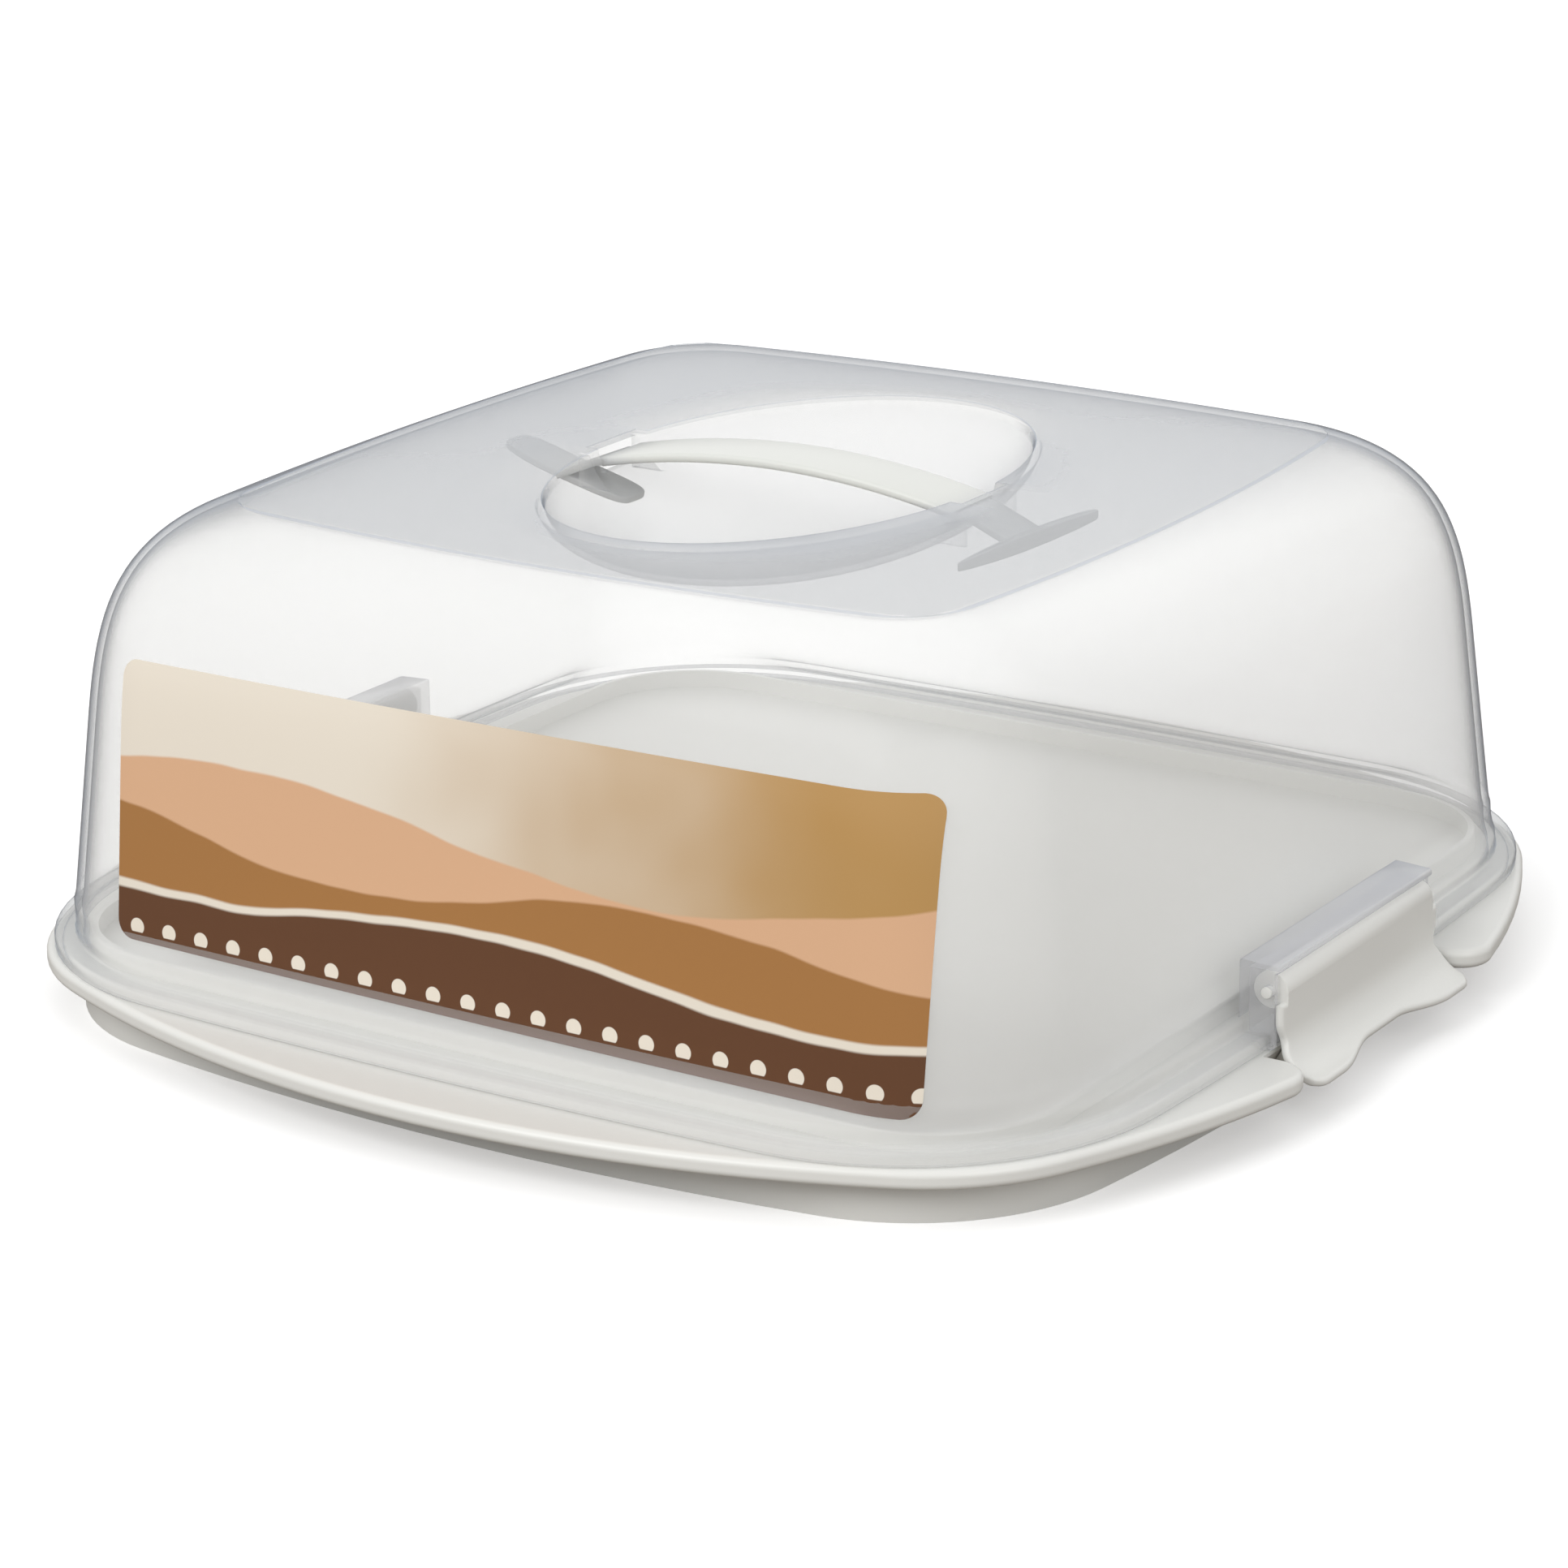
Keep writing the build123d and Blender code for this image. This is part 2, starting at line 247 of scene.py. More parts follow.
def mirrored(piece):  # the same piece on the other side of the YZ plane
    bm = bmesh.new()
    bm.from_mesh(piece.data)
    bmesh.ops.scale(bm, verts=bm.verts, vec=(-1, 1, 1))
    bmesh.ops.reverse_faces(bm, faces=bm.faces)
    bm.to_mesh(piece.data)
    bm.free()
    return piece


def cleaned(piece):  # drops the slivers with no area that a union leaves
    bm = bmesh.new()
    bm.from_mesh(piece.data)
    bmesh.ops.remove_doubles(bm, verts=bm.verts, dist=0.001 * mm)
    bmesh.ops.dissolve_degenerate(bm, dist=0.001 * mm, edges=bm.edges)
    bm.to_mesh(piece.data)
    bm.free()


def mixed(low, high, share):
    return low + (high - low) * share


cameraSetup = {
    "azimuth": 33.27, "elevation": 18.30, "roll": -0.79, "distance": 1249.4,
    "aside": -3.70, "aloft": -83.38, "level": 133.5, "lens": 109.83,
}


def makeCamera(s):
    azimuth, elevation, roll = (math.radians(s[k]) for k in ("azimuth", "elevation", "roll"))
    level = math.cos(elevation)
    back = Vector((math.sin(azimuth) * level, -math.cos(azimuth) * level, math.sin(elevation)))
    right = Vector((math.cos(azimuth), math.sin(azimuth), 0))
    up = back.cross(right)
    aim = right * s["aside"] + up * s["aloft"] + Vector((0, 0, s["level"]))
    turnedRight = right * math.cos(roll) + up * math.sin(roll)
    turnedUp = up * math.cos(roll) - right * math.sin(roll)
    data = bpy.data.cameras.new("viewCamera")
    data.lens = s["lens"]
    data.sensor_width = 36
    data.clip_start, data.clip_end = 0.05, 50
    camera = bpy.data.objects.new("viewCamera", data)
    turn = Matrix((turnedRight, turnedUp, back)).transposed().to_4x4()
    camera.matrix_world = Matrix.Translation((aim + back * s["distance"]) * mm) @ turn
    scene.collection.objects.link(camera)
    scene.camera = camera
    print("camera placed")


studioSetup = {
    "world": 0.68, "lampAim": (0, 0, 0.06),
    "lamps": [  # name, place in metres, size, watts
        ("keyLamp", (-0.5, -2.0, 1.5), (1.6, 1.2), 26),
        ("fillLamp", (1.9, -1.0, 1.3), (1.4, 1.4), 12),
        ("backLamp", (-0.5, 2.2, 1.1), (3.0, 1.4), 7),
    ],
}


def makeStudio(s):
    scene.world = bpy.data.worlds.new("studio")
    studio = Finish(scene.world, "ShaderNodeOutputWorld")
    soft = studio.node("ShaderNodeBackground", Color=(1, 1, 1, 1), Strength=s["world"])
    plain = studio.node("ShaderNodeBackground")
    camera = studio.node("ShaderNodeLightPath", out="Is Camera Ray")
    through = studio.node("ShaderNodeLightPath", out="Is Transmission Ray")
    seen = camera.math("MAXIMUM", camera, through)
    studio.surface(studio.node("ShaderNodeMixShader", i0=seen, i1=soft, i2=plain))
    for name, place, size, watts in s["lamps"]:
        light = bpy.data.lights.new(name, "AREA")
        light.shape = "RECTANGLE"
        light.size, light.size_y = size
        light.energy = watts
        lamp = bpy.data.objects.new(name, light)
        lamp.location = place
        lamp.rotation_mode = "QUATERNION"
        lamp.rotation_quaternion = (Vector(s["lampAim"]) - lamp.location).to_track_quat("-Z", "Y")
        scene.collection.objects.link(lamp)
    print("studio made", len(s["lamps"]))


def floorPaper():  # white to the camera, a dim warm grey to everything that it lights
    finish = Finish(bpy.data.materials.new("floorPaper"))
    seen = finish.node("ShaderNodeLightPath", out=0)
    paper = finish.node("ShaderNodeBsdfDiffuse", Color=(0.93, 0.93, 0.93, 1))
    glow = finish.node("ShaderNodeEmission", Color=(1, 1, 1, 1), Strength=0.3)
    dim = finish.node("ShaderNodeBsdfDiffuse", Color=(0.30, 0.27, 0.24, 1))
    bright = finish.node("ShaderNodeAddShader", i0=paper, i1=glow)
    return finish.surface(finish.node("ShaderNodeMixShader", i0=seen, i1=dim, i2=bright))


def makeFloor():
    bm = bmesh.new()
    bmesh.ops.create_grid(bm, x_segments=1, y_segments=1, size=6)
    newObject("floor", bm, floorPaper())
    print("floor made")


clearSetup = {
    "haze": 0.16, "boxHaze": 0.05, "bowlClearing": 0.05, "creaseShadeHaze": 0.22, "rimHaze": 0.6, "rimPower": 8,
    "slant": 1.06, "cloud": 0.02, "boxMargins": (2.5, 0.4), "bowlMargin": 4, "underPanel": 0.4,
    "tintAndEdgeShade": [  # facing the viewer, up to edge on; darker and bluer edge on, partly the wall's own tint over a longer path and partly painted shade for the dark edges that refraction gives
        (0, (0.92, 0.92, 0.91)), (0.54, (0.90, 0.90, 0.89)), (0.70, (0.54, 0.55, 0.56)),
        (0.96, (0.17, 0.23, 0.32)),
    ],
    "boxTone": (0.84, 0.85, 0.92), "bowlShadeTone": (0.58, 0.59, 0.61), "creaseShadeTone": (0.34, 0.39, 0.48),
}


def clearPlastic():
    s, c, h = clearSetup, coverSetup, housingSetup
    finish = Finish(bpy.data.materials.new("clearPlastic"))
    facing = finish.node("ShaderNodeLayerWeight", out=1, Blend=0.5)
    through = s["slant"] - facing  # how square the light goes through the wall
    x, y, z = finish.axes()
    inward, aside = s["boxMargins"]
    boxed = (x.size() - (h["back"] - inward) * mm).step(0, mm)
    boxed = boxed * ((h["half"] + aside) * mm - y.size()).step(0, mm)
    panelFoot = c["panelTop"] - c["wall"] - s["underPanel"]
    bowlFoot = c["panelTop"] - c["dish"][2] - s["bowlMargin"]
    deep = (panelFoot * mm - z).step(0, mm) * (z - bowlFoot * mm).step(0, mm)
    reach, span = ((size + s["bowlMargin"]) * mm for size in c["dish"][:2])
    bowl = deep * (reach - x.size()).step(0, mm) * (span - y.size()).step(0, mm)
    # a thin band just under the panel's top, along the shoulder's crease and the dish's rim, is made
    # denser and a darker blue: painted shade in the crease
    lineTop, lineFoot = (c["panelTop"] - drop for drop in c["creaseShadeBand"])
    creaseShadeMask = (lineTop * mm - z).step(0, 0.05 * mm) * (z - lineFoot * mm).step(0, 0.1 * mm)
    rim = (1 - bowl) * facing ** s["rimPower"]
    density = s["haze"] + s["boxHaze"] * boxed - s["bowlClearing"] * bowl
    density = density + s["creaseShadeHaze"] * creaseShadeMask + s["rimHaze"] * rim
    haze = 1 - (-1 * density / through).exponent()
    cloud = s["cloud"] * (finish.noise(9.0, 3.0) - 0.5)
    # colour darkens towards edge on: partly the wall's tint, partly painted edge shade
    colour = finish.node("ShaderNodeValToRGB", {"stops": s["tintAndEdgeShade"]}, Fac=facing)
    colour = finish.colours(0.5 * boxed, colour, s["boxTone"])
    # the dish's bowl is tinted a darker grey: painted shade in the recess
    colour = finish.colours(0.6 * bowl, colour, s["bowlShadeTone"])
    # painted shade line along the crease and the dish's rim
    colour = finish.colours(0.6 * creaseShadeMask, colour, s["creaseShadeTone"])
    shell = finish.node(
        "ShaderNodeBsdfPrincipled", Base_Color=colour, Roughness=0.14, IOR=1.3, Alpha=haze + cloud,
        Normal=finish.bump(finish.noise(60.0, 3.0), 0.04, 0.0004),
    )
    return finish.surface(shell)


def milkyPlastic():
    finish = Finish(bpy.data.materials.new("milkyPlastic"))
    facing = finish.node("ShaderNodeLayerWeight", out=1, Blend=0.5)
    z = finish.axes()[2]
    level = coverSetup["panelTop"] * mm
    # the handle is a darker grey below the panel's top and a lighter warm white above it: painted shade on
    # the parts under the cover
    litAbovePanel = z.step(level - 4 * mm, level - mm)
    colour = finish.colours(litAbovePanel, (0.66, 0.67, 0.67), (0.78, 0.79, 0.75))
    shader = finish.node(
        "ShaderNodeBsdfPrincipled", Base_Color=colour, Roughness=0.32, IOR=1.49,
        Alpha=0.90 + 0.08 * facing, Normal=finish.bump(finish.noise(300.0, 2.0), 0.12, 0.0003),
    )
    return finish.surface(shader)


def whitePlastic():
    finish = Finish(bpy.data.materials.new("whitePlastic"))
    flow = finish.noise(7.0, 3.0)
    grain = finish.noise(900.0, 2.0)
    colour = finish.colours(flow, (0.76, 0.76, 0.73), (0.81, 0.81, 0.78))
    shader = finish.node(
        "ShaderNodeBsdfPrincipled", Base_Color=colour, Roughness=0.28 + 0.08 * flow, IOR=1.49,
        Normal=finish.bump(grain, 0.1, 0.0002),
    )
    return finish.surface(shader)


inks = {
    "cream": (0.84, 0.77, 0.66), "gold": (0.50, 0.29, 0.10), "peach": (0.74, 0.45, 0.27),
    "caramel": (0.40, 0.19, 0.06), "brown": (0.13, 0.055, 0.025),
}


def labelPrint():  # soft waves from cream down to brown, with a row of dots
    s = labelSetup
    finish = Finish(bpy.data.materials.new("labelPrint"))
    x, _, z = finish.axes()
    left, right = (end * mm for end in s["ends"])
    height = s["heights"][1] * mm
    across = (x - left) / (right - left)
    rise = (z - s["middle"] * mm) / height + 0.5
    flow = finish.noise(22.0, 2.0)
    colour = finish.colours((across + 0.3 * (flow - 0.5)).step(0.25, 0.95), inks["cream"], inks["gold"])
    for name, top, swing, pace, start in s["waves"]:
        edge = rise - top - swing * (across * pace + start).sine() - 0.06 * (flow - 0.5)
        colour = finish.colours(edge.step(-0.006, 0.006), inks[name], colour)
    spread = finish.node("ShaderNodeCombineXYZ", X=x, Y=z, Z=0.0)
    dots = finish.node(
        "ShaderNodeTexVoronoi", {"feature": "F1"}, Vector=spread, Scale=s["dotScale"], Randomness=0.0,
    )
    band = (rise - s["dotBand"][0]).step(0, 0.004) * (s["dotBand"][1] - rise).step(0, 0.004)
    colour = finish.colours((s["dotSize"] - dots).step(0, 0.02) * band, colour, inks["cream"])
    shader = finish.node("ShaderNodeBsdfPrincipled", Base_Color=colour, Roughness=0.22, IOR=1.49)
    return finish.surface(shader)


# rings are rounded, bulged squares, and the cover is made of them
sideSteps, cornerSteps = 24, 16
ringSteps = 4 * (sideSteps + cornerSteps)


def sideArc(half, bulge, corner):  # a side's radius and middle, its corner's centre and half its angle
    radius = ((half - bulge) ** 2 + bulge ** 2) / (2 * bulge)
    middle = half - radius
    nook = (middle + math.sqrt(2 * (radius - corner) ** 2 - middle ** 2)) / 2
    return radius, middle, nook, math.atan2(nook, nook - middle)


def squarePoint(half, bulge, corner, step):
    quarter, step = divmod(step, sideSteps + cornerSteps)
    radius, middle, nook, spread = sideArc(half, bulge, corner)
    if step <= sideSteps:
        angle = mixed(-spread, spread, step / sideSteps)
        x, y = middle + radius * math.cos(angle), radius * math.sin(angle)
    else:
        angle = mixed(spread, math.pi / 2 - spread, (step - sideSteps) / cornerSteps)
        x, y = nook + corner * math.cos(angle), nook + corner * math.sin(angle)
    for _ in range(quarter):
        x, y = -y, x
    return x, y


def squareRing(half, bulge, corner, level):
    return [Vector((*squarePoint(half, bulge, corner, k), level)) * mm for k in range(ringSteps)]


coverSetup = {
    "wall": 1.9, "panel": (112.2, 7.3, 13.0), "panelTop": 133.5,
    "creaseAngle": 13.2, "shoulderEnd": (144.2, 76.2), "creaseRun": 26.88, "wallRun": 27.5,
    "cornerGrowth": 0.35, "foot": (148.6, 1.5, 39.0), "footLevel": 26.0,
    "ledge": (157.0, 4.0, 66.0), "ledgeLevel": 23.6,
    "lip": (163.8, 7.0, 72.0), "lipLevel": 20.4, "bottom": 16.8,
    "dish": (54.7, 82.5, 22.5), "shoulderSteps": 26, "dishSteps": 22,
    "creaseShadeBand": (0.06, 0.42), "footRounding": 5.5, "ledgeRounding": 1.1, "stepRounding": 0.9,
    "lipRounding": 1.5, "lipEdge": 0.4, "dishSweep": 0.965, "dishRounding": (1.0, 0.3), "panelMargin": 0.8,
}


def shoulderPoint(share, inset):  # half width and level on the shoulder's curve
    s = coverSetup
    start, end = Vector((s["panel"][0], s["panelTop"])), Vector(s["shoulderEnd"])
    fall = s["creaseRun"] * math.tan(math.radians(s["creaseAngle"]))
    draft = (Vector((s["foot"][0], s["footLevel"])) - end).normalized()
    controls = [start, start + Vector((s["creaseRun"], -fall)), end - draft * s["wallRun"], end]
    rest = 1 - share
    weights = (rest ** 3, 3 * rest ** 2 * share, 3 * rest * share ** 2, share ** 3)
    slopes = (-rest ** 2, rest ** 2 - 2 * rest * share, 2 * rest * share - share ** 2, share ** 2)
    point = sum((c * w for c, w in zip(controls, weights)), Vector((0, 0)))
    slope = sum((c * w for c, w in zip(controls, slopes)), Vector((0, 0))).normalized()
    return point + Vector((slope.y, -slope.x)) * inset


def footShape(half, inset):  # bulge and corner at a half width of the stepped foot
    s = coverSetup
    stages = [s["foot"], s["ledge"], s["lip"]]
    for low, high in zip(stages, stages[1:]):
        if half + inset <= high[0] or high is stages[-1]:
            share = max(0, (half + inset - low[0]) / (high[0] - low[0]))
            return mixed(low[1], high[1], share), mixed(low[2], high[2], share) - inset


def wallShape(half, inset):
    s = coverSetup
    share = min(1, max(0, (half + inset - s["panel"][0]) / (s["foot"][0] - s["panel"][0])))
    corner = mixed(s["panel"][2], s["foot"][2], share ** s["cornerGrowth"]) - inset
    return mixed(s["panel"][1], s["foot"][1], share), corner


def coverRings(inset):  # rings from the panel's edge down to the lip, on the outside or inside
    s = coverSetup
    rings = []
    steps = s["shoulderSteps"]
    points = [shoulderPoint((k / steps) ** 1.25, inset) for k in range(steps + 1)]
    foot = Vector((s["foot"][0] - inset, s["footLevel"] - inset * 0.4))
    points += [mixed(points[-1], foot, share) for share in (0.3, 0.6)]
    for point in points:
        rings.append(squareRing(point.x, *wallShape(point.x, inset), point.y))
    ledgeTop = Vector((s["ledge"][0] - inset, s["ledgeLevel"] - inset))
    ledgeFoot = Vector((s["ledge"][0] - inset, s["lipLevel"] - inset))
    lipTop = Vector((s["lip"][0] - inset, s["lipLevel"] - inset))
    lipFoot = Vector((s["lip"][0] - inset, s["bottom"]))
    outline = bend(points[-1], foot, ledgeTop, s["footRounding"], 8)
    outline += bend(foot, ledgeTop, ledgeFoot, s["ledgeRounding"], 4)
    outline += bend(ledgeTop, ledgeFoot, lipTop, s["stepRounding"], 3)
    outline += bend(ledgeFoot, lipTop, lipFoot, s["lipRounding"], 5)
    if inset:
        outline.append(lipFoot)
    else:
        outline += [lipFoot + Vector((0, s["lipEdge"])), lipFoot - Vector((s["lipEdge"], 0))]
    for point in outline:
        rings.append(squareRing(point.x, *footShape(point.x, inset), point.y))
    return rings


def ovalRing(length, span, level):  # points on an oval, each in the direction of a panel's point
    s = coverSetup
    ring = []
    for k in range(ringSteps):
        x, y = squarePoint(*s["panel"], k)
        angle = math.atan2(y, x)
        ring.append(Vector((length * math.cos(angle), span * math.sin(angle), level)) * mm)
    return ring


def dishRings(inset):  # rings from the middle of the dish out to the panel's edge
    s = coverSetup
    length, span, depth = (size + inset for size in s["dish"])
    rounding = s["dishRounding"][1 if inset else 0]
    rings = []
    for k in range(1, s["dishSteps"] + 1):
        angle = math.pi / 2 * s["dishSweep"] * k / s["dishSteps"]
        share = math.sin(angle)
        rings.append(ovalRing(length * share, span * share, s["panelTop"] - depth * math.cos(angle)))
    level = s["panelTop"] - inset
    if inset:
        rings = [ring for ring in rings if ring[0].z < (level - 1) * mm]
    for out, drop in ((0.1, 0.45), (0.45, 0.1), (0.95, 0)):  # the dish's rounded edge
        rings.append(ovalRing(length + out * rounding, span + out * rounding, level - drop * rounding))
    panelEdge = shoulderPoint(0, inset)
    edge = squareRing(panelEdge.x - s["panelMargin"], *wallShape(panelEdge.x, inset), panelEdge.y)
    for share in (0.3, 0.65, 1):
        rings.append([mixed(a, b, share) for a, b in zip(rings[-1], edge)])
    return rings


def coverShell(material):
    bm = bmesh.new()
    rings = dishRings(0) + coverRings(0)
    rings += (dishRings(coverSetup["wall"]) + coverRings(coverSetup["wall"]))[::-1]
    edges = bmesh.ops.create_circle(bm, cap_ends=True, segments=ringSteps, radius=mm)["verts"]
    for vert, point in zip(edges, rings[0]):
        vert.co = point
    loop = [e for e in bm.edges]
    for ring in rings[1:]:
        loop = extrudedRing(bm, loop, ring)
    bmesh.ops.edgeloop_fill(bm, edges=loop)
    return newObject("coverShell", bm, material)


housingSetup = {
    "back": 157.2, "face": 165.0, "half": 42.6, "cheek": 2.0, "rounding": 0.7, "endRounding": 0.18,
    "pivot": (162.9, 31.8), "pinHole": 1.55, "roofLevel": 37.0, "past": (180, 10),
    "outline": [
        (155.5, 22.6), (156.1, 19.5), (162.6, 19.5), (162.6, 17.1), (165.0, 17.1), (165.0, 37.0),
        (166.0, 37.0), (166.0, 38.8), (155.4, 39.4),
    ],
}


def housing(side, material):  # one clip's housing: back wall, two cheeks and a roof
    s = housingSetup
    half = s["half"]
    bm = bmesh.new()
    prism(bm, softened(s["outline"], s["rounding"]), -half, half)
    bevelled(bm, squareTo(bm, 1), s["endRounding"], 2)
    block = newObject("housing", bm, material)
    bm = bmesh.new()
    out, foot = s["past"]
    bay = [(s["back"], foot), (out, foot), (out, s["roofLevel"]), (s["back"], s["roofLevel"])]
    prism(bm, bay, -(half - s["cheek"]), half - s["cheek"])
    combined(block, newObject("bay", bm, material), "DIFFERENCE")
    combined(block, rod("pinHole", s["pivot"], s["pinHole"], 1.5 * half, material), "DIFFERENCE")
    return block if side > 0 else mirrored(block)


slotSetup = {
    "half": 11.5, "outside": 58.1, "bottom": 127.0, "cheek": 1.6, "depth": 11.0, "bite": 1, "inward": 6,
    "past": 140, "steps": 5,
}


def slotCheek(side, end, material):  # one side wall of a slot's pocket, under the panel
    s = slotSetup
    c = coverSetup
    length, span, depth = (size + c["wall"] / 2 for size in c["dish"])
    inner = end * s["half"]
    foot, top = c["panelTop"] - s["depth"], c["panelTop"] - s["bite"]
    outer = side * (s["outside"] + s["cheek"])
    outline = []
    for k in range(s["steps"] + 1):
        level = mixed(foot, top, k / s["steps"])
        drop = (c["panelTop"] - level) / depth
        outline.append((side * length * math.sqrt(1 - drop ** 2 - (inner / span) ** 2), level))
    outline += [(outer, top), (outer, foot)]
    bm = bmesh.new()
    low, high = sorted((inner, inner + end * s["cheek"]))
    prism(bm, outline, low, high)
    return newObject("slotCheek", bm, material)


def makeCover():
    material = clearPlastic()
    piece = coverShell(material)
    for side in (1, -1):
        combined(piece, housing(side, material), "UNION")
        for end in (1, -1):
            combined(piece, slotCheek(side, end, material), "UNION")
    s = slotSetup
    for side in (1, -1):
        bm = bmesh.new()
        near, far = sorted((side * (coverSetup["dish"][0] - s["inward"]), side * s["outside"]))
        box = [(near, s["bottom"]), (far, s["bottom"]), (far, s["past"]), (near, s["past"])]
        prism(bm, box, -s["half"], s["half"])
        combined(piece, newObject("slotCut", bm, material), "DIFFERENCE")
    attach(piece, "cover")
    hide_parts("cover")
    print("cover made", len(piece.data.polygons))


labelSetup = {
    "ends": (-111.7, 126.6), "middle": 64.2, "heights": (72.2, 76.0), "rounding": 5.0,
    "proud": 0.25, "thickness": 0.2, "columns": 90, "rows": 24,
    "waves": [  # ink, height, swing, pace and start of each wave
        ("peach", 0.60, 0.09, 6.5, 0.4), ("caramel", 0.43, 0.07, 8.0, 2.2),
        ("cream", 0.27, 0.05, 7.0, 4.4), ("brown", 0.24, 0.05, 7.0, 4.5),
    ],
    "dotScale": 95.0, "dotSize": 0.22, "dotBand": (0.05, 0.15),
}


def wallSection(level, inset):  # half width, bulge and corner of the cover at a level
    s = coverSetup
    end = shoulderPoint(1, inset)
    if level < end.y:
        foot = Vector((s["foot"][0] - inset, s["footLevel"]))
        half = mixed(end.x, foot.x, (end.y - level) / (end.y - foot.y))
        return half, *wallShape(half, inset)
    low, high = 0, 1
    for _ in range(30):
        share = (low + high) / 2
        low, high = (share, high) if shoulderPoint(share, inset).y > level else (low, share)
    half = shoulderPoint(low, inset).x
    return half, *wallShape(half, inset)


def wallDepth(x, level, inset):  # how far in front of the middle the wall stands
    half, bulge, corner = wallSection(level, inset)
    radius, middle, nook, spread = sideArc(half, bulge, corner)
    if abs(x) < radius * math.sin(spread):
        return middle + math.sqrt(radius ** 2 - x ** 2)
    return nook + math.sqrt(corner ** 2 - (abs(x) - nook) ** 2)


def makeLabel(material):
    s = labelSetup
    left, right = s["ends"]
    bm = bmesh.new()
    bmesh.ops.create_grid(bm, x_segments=s["columns"], y_segments=s["rows"], size=0.5)
    for vert in bm.verts:
        share, rise = vert.co.x + 0.5, vert.co.y + 0.5
        share = (1 - math.cos(math.pi * share)) / 2
        x = mixed(left, right, share)
        height = mixed(*s["heights"], share)
        toEnd = max(0, s["rounding"] - min(x - left, right - x))
        height -= 2 * (s["rounding"] - math.sqrt(max(0, s["rounding"] ** 2 - toEnd ** 2)))
        level = s["middle"] + height * (rise - 0.5)
        vert.co = Vector((x, -wallDepth(x, level, -s["proud"]), level)) * mm
    bmesh.ops.solidify(bm, geom=bm.faces, thickness=s["thickness"] * mm)
    piece = newObject("frontLabel", bm, material)
    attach(piece, "cover")
    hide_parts("label")
    print("label made", len(piece.data.polygons))


handleSetup = {
    "ends": 54.7, "crown": 136.7, "level": 130.5, "width": 20.0, "thickness": 2.6,
    "stemWidth": 16.0, "stemThickness": 2.0, "stemTop": 129.3, "slotOutside": 58.1, "stemEnd": 71.0,
    "barLevel": 123.0, "barLength": 63.0, "barWidth": 2.8, "barHeight": 4.4, "barTurn": 4.0,
    "barThinning": 0.5, "barTaper": 0.6, "barRounding": 0.45, "strapRounding": 1.1, "stemRounding": 0.4,
    "toggle": (43.0, 13.5, 2.0), "tilt": 14.0, "toggleSpread": 0.4, "toggleDip": 0.35,
    "toggleRounding": 0.5, "overlap": 0.2,
}


def arcThrough(ends, level, crown, steps):  # points on the arch between both ends
    sagitta = crown - level
    radius = (ends ** 2 + sagitta ** 2) / (2 * sagitta)
    spread = math.asin(ends / radius)
    angles = [mixed(-spread, spread, k / steps) for k in range(steps + 1)]
    return [(radius * math.sin(a), crown - radius + radius * math.cos(a)) for a in angles]


def strap(material):
    s = handleSetup
    low = s["thickness"]
    bm = bmesh.new()
    outline = arcThrough(s["ends"], s["level"], s["crown"], 40)
    outline += arcThrough(s["ends"], s["level"] - low, s["crown"] - low, 40)[::-1]
    prism(bm, outline, -s["width"] / 2, s["width"] / 2)
    bevelled(bm, squareTo(bm, 1), s["strapRounding"], 4)
    return newObject("carryStrap", bm, material)


def stem(side, material):
    s = handleSetup
    thick, start = s["stemThickness"], s["ends"] - s["stemThickness"]
    points = [
        (start, s["level"] - s["overlap"]), (s["slotOutside"], s["stemTop"]),
        (s["stemEnd"], s["barLevel"] + thick / 2), (s["stemEnd"], s["barLevel"] - thick / 2),
        (s["slotOutside"], s["stemTop"] - thick),
        (start, s["level"] - s["thickness"] + s["overlap"]),
    ]
    bm = bmesh.new()
    prism(bm, [(side * x, z) for x, z in points], -s["stemWidth"] / 2, s["stemWidth"] / 2)
    bevelled(bm, squareTo(bm, 1), s["stemRounding"], 2)
    return newObject("stem", bm, material)


def plate(name, outline, thick, place, material, rounding, thinning=0):  # plate over an outline
    bm = bmesh.new()
    face = bm.faces.new([bm.verts.new((x * mm, y * mm, -thick / 2 * mm)) for x, y in outline])
    rise = bmesh.ops.extrude_face_region(bm, geom=[face])["geom"]
    moved = [v for v in rise if isinstance(v, bmesh.types.BMVert)]
    bmesh.ops.translate(bm, verts=moved, vec=(0, 0, thick * mm))
    bevelled(bm, squareTo(bm, 2), rounding, 3)
    end = max(y for _, y in outline) * mm
    for vert in bm.verts:
        vert.co.z *= 1 - thinning * (vert.co.y / end) ** 2
    bmesh.ops.transform(bm, matrix=place, verts=bm.verts)
    return newObject(name, bm, material)


def crossbar(material):
    s = handleSetup
    half, thick = s["barLength"] / 2, s["barWidth"] / 2
    outline = []
    for side in (1, -1):
        for k in range(25):
            y = half * math.cos(math.pi * k / 24) * side
            taper = 1 - s["barTaper"] * (max(0, -y) / half) ** 2
            x = side * thick * taper * math.sqrt(max(0, 1 - (abs(y) / half) ** 16))
            outline.append((x, y))
        outline.pop()
    turn = Matrix.Rotation(math.radians(-s["barTurn"]), 4, "Z")
    place = Matrix.Translation(Vector((s["stemEnd"], 0, s["barLevel"])) * mm) @ turn
    return plate("crossbar", outline, s["barHeight"], place, material, s["barRounding"], s["barThinning"])


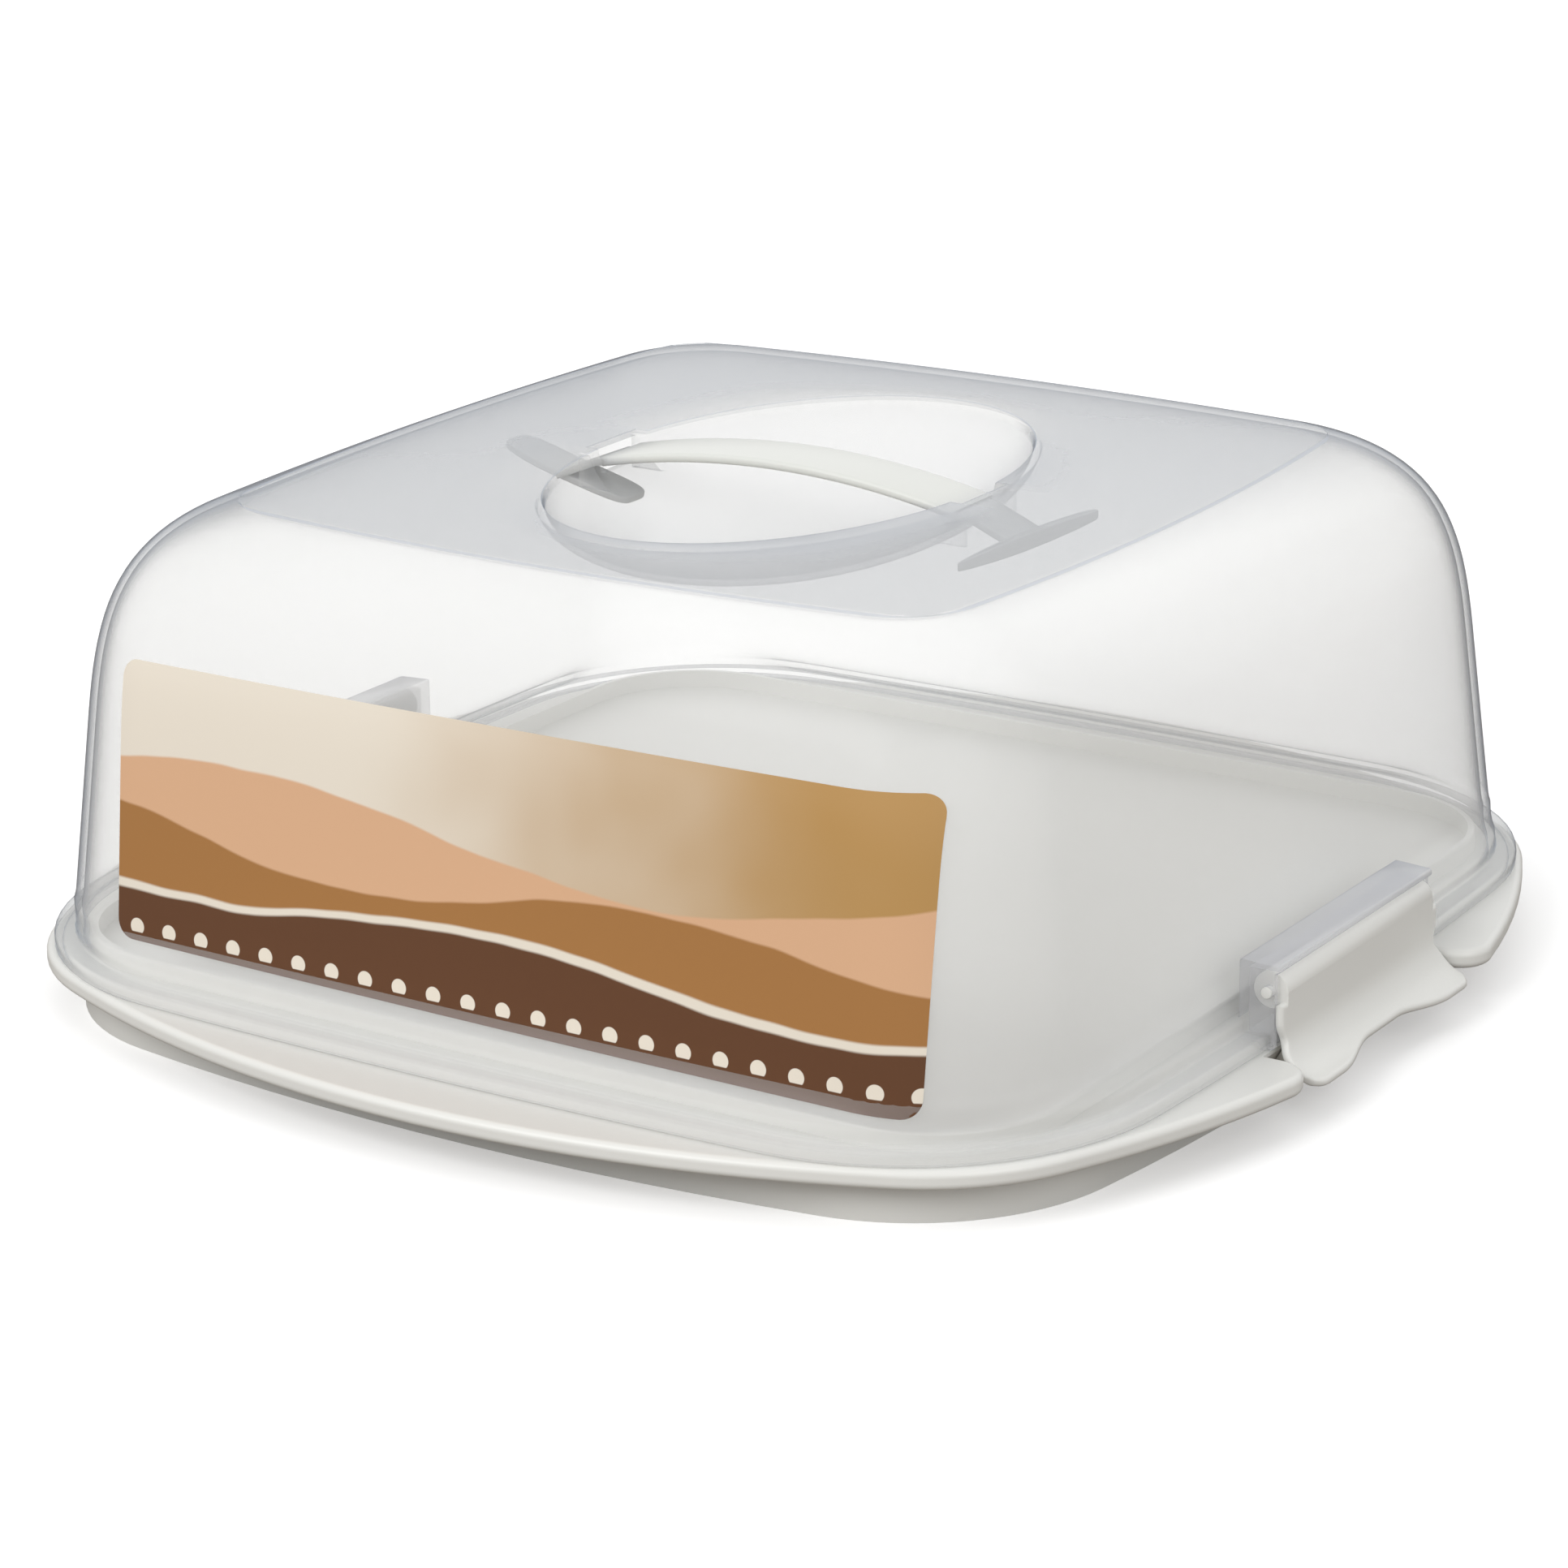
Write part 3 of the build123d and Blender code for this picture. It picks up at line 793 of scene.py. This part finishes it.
def toggle(material):
    s = handleSetup
    length, width, thick = s["toggle"]
    outline = []
    for k in range(64):
        angle = 2 * math.pi * (k + 0.5) / 64
        c, d = math.cos(angle), math.sin(angle)
        x = math.copysign(abs(c) ** (0.45 if c > 0 else 0.7), c) * length / 2
        y = math.copysign(abs(d) ** 0.45, d) * width / 2
        outer = max(0, -2 * x / length) ** 2
        outline.append((x, y * (1 + outer * (s["toggleSpread"] if y > 0 else -s["toggleDip"]))))
    turn = Matrix.Rotation(math.radians(s["tilt"]), 4, "Y")
    place = Matrix.Translation(Vector((-s["stemEnd"], 0, s["barLevel"])) * mm) @ turn
    return plate("toggle", outline, thick, place, material, s["toggleRounding"])


def makeHandle(material):
    piece = strap(material)
    for part in (stem(1, material), stem(-1, material), crossbar(material), toggle(material)):
        combined(piece, part, "UNION")
    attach(piece, "handle")
    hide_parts("carry_handle")
    print("handle made", len(piece.data.polygons))


clipSetup = {
    "half": 43.0, "barrelHalf": 40.2, "sheet": 2.3, "pivot": (162.9, 31.8), "barrel": 4.8,
    "pin": 1.5, "face": 167.7, "bendLevel": 22.6, "shoulderLevel": 29.3, "flare": 10.9,
    "flareOut": 10.8, "lobe": 30.0, "archHalf": 13.0, "archOut": 6.9, "rounding": 5.0,
    "neck": 2.0, "neckFall": 9.5, "neckSpread": 2.6, "edge": 1.1, "edgeThickness": 0.12,
    "edgeSteps": 5, "columns": 64, "rows": 34, "hookHalf": 36.0, "webFoot": 1.3, "webTop": 0.2,
    "rodRounding": 0.4,
    "hook": [
        (161.9, 11.225), (165.4, 17.28), (166.55, 21.6), (168.4, 14.0), (169.4, 10.2), (168.6, 9.9),
        (161.9, 9.9),
    ],
}


def flareReach(y):  # how far out the clip's edge stands at a place along it
    s = clipSetup
    aside = abs(y)
    if aside <= s["lobe"]:
        start = s["archHalf"] * 0.6
        t = max(0, aside - start) / (s["lobe"] - start)
        return mixed(s["archOut"], s["flareOut"], t * t * (3 - 2 * t))
    toEnd = max(0, aside - s["half"] + s["rounding"])
    return s["flareOut"] - s["rounding"] + math.sqrt(max(0, s["rounding"] ** 2 - toEnd ** 2))


def clipPoint(y, fall):  # place and outward direction at a run of the sheet below its shoulder
    s = clipSetup
    upright = s["shoulderLevel"] - s["bendLevel"]
    turn = max(0, fall - upright) / s["flare"]
    level = s["shoulderLevel"] - min(fall, upright) - s["flare"] * math.sin(turn)
    out = s["face"] + s["flare"] * (1 - math.cos(turn))
    return Vector((out, y, level)), Vector((math.cos(turn), 0, math.sin(turn)))


def edgeSpread(steps, length):  # places along a run, closely set at both ends
    edge, count = clipSetup["edge"], clipSetup["edgeSteps"]
    ends = [edge * (1 - math.cos(math.pi / 2 * k / count)) for k in range(count + 1)]
    inner = [mixed(edge, length - edge, k / steps) for k in range(1, steps)]
    return ends + inner + [length - end for end in ends[::-1]]


def sheetPoint(across, row, side):  # a point of the sheet's outer or inner face
    s = clipSetup
    thick, edge = s["sheet"] / 2, s["edge"]
    aside = across - s["half"]
    turn = math.acos(1 - flareReach(aside) / s["flare"])
    length = s["shoulderLevel"] - s["bendLevel"] + s["flare"] * turn
    fall = edgeSpread(s["rows"], length)[row]
    near = min(fall, length - fall, s["half"] - abs(aside), edge) / edge
    lift = thick * mixed(s["edgeThickness"], 1, math.sqrt(max(0, 1 - (1 - near) ** 2)))
    waist = s["neck"] * math.exp(-(((fall - s["neckFall"]) / s["neckSpread"]) ** 2))
    waist *= (abs(aside) / s["half"]) ** 9
    point, out = clipPoint(aside - math.copysign(waist, aside), fall)
    return (point + out * (side * lift - thick)) * mm


def clipSheet(name, material):  # panel, flare and lobes, with edges rounded over their whole thickness
    s = clipSetup
    places = edgeSpread(s["columns"], 2 * s["half"])
    columns, rows = len(places) - 1, s["rows"] + 2 * s["edgeSteps"]
    bm = bmesh.new()
    for side in (1, -1):
        face = bmesh.ops.create_grid(bm, x_segments=columns, y_segments=rows, size=0.5)["verts"]
        for vert in face:
            column, row = round((vert.co.x + 0.5) * columns), round((vert.co.y + 0.5) * rows)
            vert.co = sheetPoint(places[column], row, side)
    bmesh.ops.bridge_loops(bm, edges=[e for e in bm.edges if e.is_boundary])
    return newObject(name, bm, material)


def makeClip(name, side, material):
    s = clipSetup
    piece = clipSheet(name, material)
    bm = bmesh.new()
    low, high = s["shoulderLevel"] - s["webFoot"], s["pivot"][1] + s["webTop"]
    inner, half, rounding = s["face"] - s["sheet"], s["barrelHalf"], s["rodRounding"]
    prism(bm, [(inner, low), (s["face"], low), (s["face"], high), (inner, high)], -half, half)
    combined(piece, newObject("neck", bm, material), "UNION")
    combined(piece, rod("barrel", s["pivot"], s["barrel"], half, material, rounding), "UNION")
    combined(piece, rod("pins", s["pivot"], s["pin"], s["half"], material, rounding), "UNION")
    bm = bmesh.new()
    prism(bm, s["hook"], -s["hookHalf"], s["hookHalf"])
    combined(piece, newObject("hook", bm, material), "UNION")
    cleaned(piece)
    if side < 0:
        mirrored(piece)
    body = "right_clip" if side > 0 else "left_clip"
    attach(piece, body)
    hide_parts(body)
    print("clip made", len(piece.data.polygons))


def dressTray(material):  # the tray keeps its own mesh
    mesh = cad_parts["base_tray"].data
    mesh.materials.clear()
    mesh.materials.append(material)
    mesh.shade_smooth()
    mesh.set_sharp_from_angle(angle=math.radians(28))
    print("tray dressed")


makeCamera(cameraSetup)
makeStudio(studioSetup)
makeFloor()
white = whitePlastic()
dressTray(white)
makeCover()
makeLabel(labelPrint())
makeHandle(milkyPlastic())
makeClip("rightClip", 1, white)
makeClip("leftClip", -1, white)
